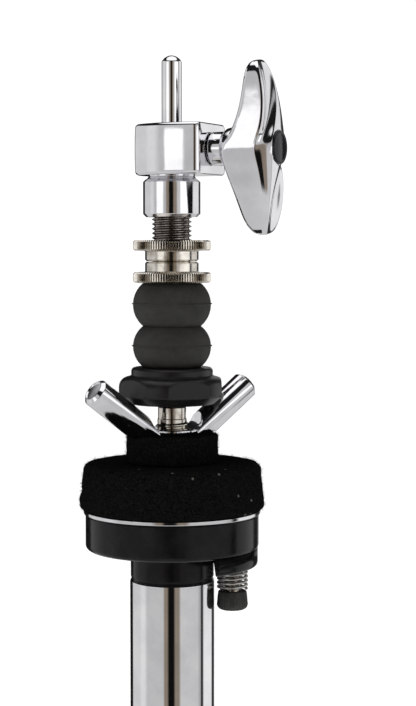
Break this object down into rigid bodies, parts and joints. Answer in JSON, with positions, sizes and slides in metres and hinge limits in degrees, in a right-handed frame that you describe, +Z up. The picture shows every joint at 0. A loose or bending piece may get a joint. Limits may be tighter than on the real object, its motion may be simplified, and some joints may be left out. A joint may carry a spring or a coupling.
{
  "type": "hi-hat stand upper section",
  "caption": "Upper section of a hi-hat stand: tube, tilting cymbal seat, pull rod, and a clutch with rubber cushions and a wing bolt.",
  "frame": {"origin": "centre of the upper tube's lower end", "axes": "+Z up along the tube and the pull rod; the tilter screw is at +X; the player sits towards -Y"},
  "size_m": [0.0611, 0.0552, 0.2964],
  "materials": {
    "chrome_tube": "mirror chrome plating on a drawn steel tube",
    "chrome_rod": "mirror chrome plating on a ground steel rod",
    "chrome_plate": "chrome plated pressed steel",
    "chrome_casting": "chrome plated zinc die casting, polished",
    "nickel_steel": "turned steel with warm nickel plating",
    "spring_steel": "bare drawn spring wire",
    "brass": "machined brass",
    "white_nylon": "natural moulded nylon",
    "black_moulding": "gloss black moulded plastic",
    "satin_nylon": "satin black moulded nylon",
    "black_knob": "grained black plastic",
    "black_cap": "plain gloss black plastic disc",
    "grey_rubber": "matt dark grey moulded rubber",
    "black_felt": "dense black wool felt with a loose nap"
  },
  "bodies": {
    "stand": {"upper_tube": "chrome_tube", "seat_socket": "black_moulding", "seat_post": "nickel_steel", "post_lock_nut": "nickel_steel", "top_rod_bushing": "white_nylon", "lug_thread_insert": "brass", "small_felt": "black_felt"},
    "tilter_slide": {"tilter_spring": "spring_steel"},
    "tilter": {"tilter_screw": "nickel_steel", "tilter_knob": "black_knob"},
    "seat": {"tilt_plate": "chrome_plate", "large_felt": "black_felt"},
    "wing_nut": {"wing_nut": "chrome_casting"},
    "rod": {"pull_rod": "chrome_rod", "rod_lock_nut": "nickel_steel"},
    "clutch": {"clutch_block": "chrome_casting", "clutch_sleeve": "nickel_steel", "lower_cushion": "grey_rubber", "upper_cushion": "grey_rubber"},
    "lower_lock_nut": {"lower_lock_nut": "nickel_steel"},
    "upper_lock_nut": {"upper_lock_nut": "nickel_steel"},
    "bottom_nut": {"bottom_nut": "satin_nylon", "bottom_nut_insert": "brass"},
    "clamp_shoe": {"clamp_shoe": "brass"},
    "wing_bolt": {"wing_bolt": "chrome_casting", "wing_bolt_stud": "nickel_steel", "wing_bolt_cap": "black_cap"}
  },
  "joints": [
    {"name": "pull_rod_slide", "type": "slide", "parent": "stand", "child": "rod", "axis": [0, 0, 1], "range_m": [0, 0.035]},
    {"name": "clutch_slide", "type": "slide", "parent": "rod", "child": "clutch", "axis": [0, 0, 1], "range_m": [0, 0.018]},
    {"name": "wing_bolt_shift", "type": "slide", "parent": "clutch", "child": "clamp_shoe", "axis": [0.8957, -0.4446, 0], "range_m": [0, 0.0025]},
    {"name": "wing_bolt_turn", "type": "hinge", "parent": "clamp_shoe", "child": "wing_bolt", "pos_m": [0, 0, 0.24855], "axis": [0.8957, -0.4446, 0], "range_deg": [0, 720]},
    {"name": "upper_lock_nut_turn", "type": "hinge", "parent": "clutch", "child": "upper_lock_nut", "pos_m": [0, 0, 0.2188], "axis": [0, 0, 1], "continuous": true},
    {"name": "lower_lock_nut_turn", "type": "hinge", "parent": "clutch", "child": "lower_lock_nut", "pos_m": [0, 0, 0.2124], "axis": [0, 0, 1], "continuous": true},
    {"name": "bottom_nut_turn", "type": "hinge", "parent": "clutch", "child": "bottom_nut", "pos_m": [0, 0, 0.1785], "axis": [0, 0, 1], "continuous": true},
    {"name": "wing_nut_turn", "type": "hinge", "parent": "stand", "child": "wing_nut", "pos_m": [0, 0, 0.1642], "axis": [0, 0, 1], "continuous": true},
    {"name": "tilter_lift", "type": "slide", "parent": "stand", "child": "tilter_slide", "axis": [0, 0, 1], "range_m": [0, 0.0027], "deforming": ["tilter_spring"]},
    {"name": "tilter_turn", "type": "hinge", "parent": "tilter_slide", "child": "tilter", "pos_m": [0.0181, 0, 0.1135], "axis": [0, 0, 1], "range_deg": [0, 972]},
    {"name": "seat_tilt", "type": "hinge", "parent": "stand", "child": "seat", "pos_m": [-0.0262, 0, 0.1401], "axis": [0, -1, 0], "range_deg": [0, 3.49], "deforming": ["small_felt"]}
  ],
  "couplings": [
    {"joint": "wing_bolt_shift", "follows": "wing_bolt_turn", "m_per_rad": 0.00019894},
    {"joint": "tilter_turn", "follows": "tilter_lift", "rad_per_m": 6283.2},
    {"joint": "seat_tilt", "follows": "tilter_lift", "rad_per_m": 22.573}
  ]
}
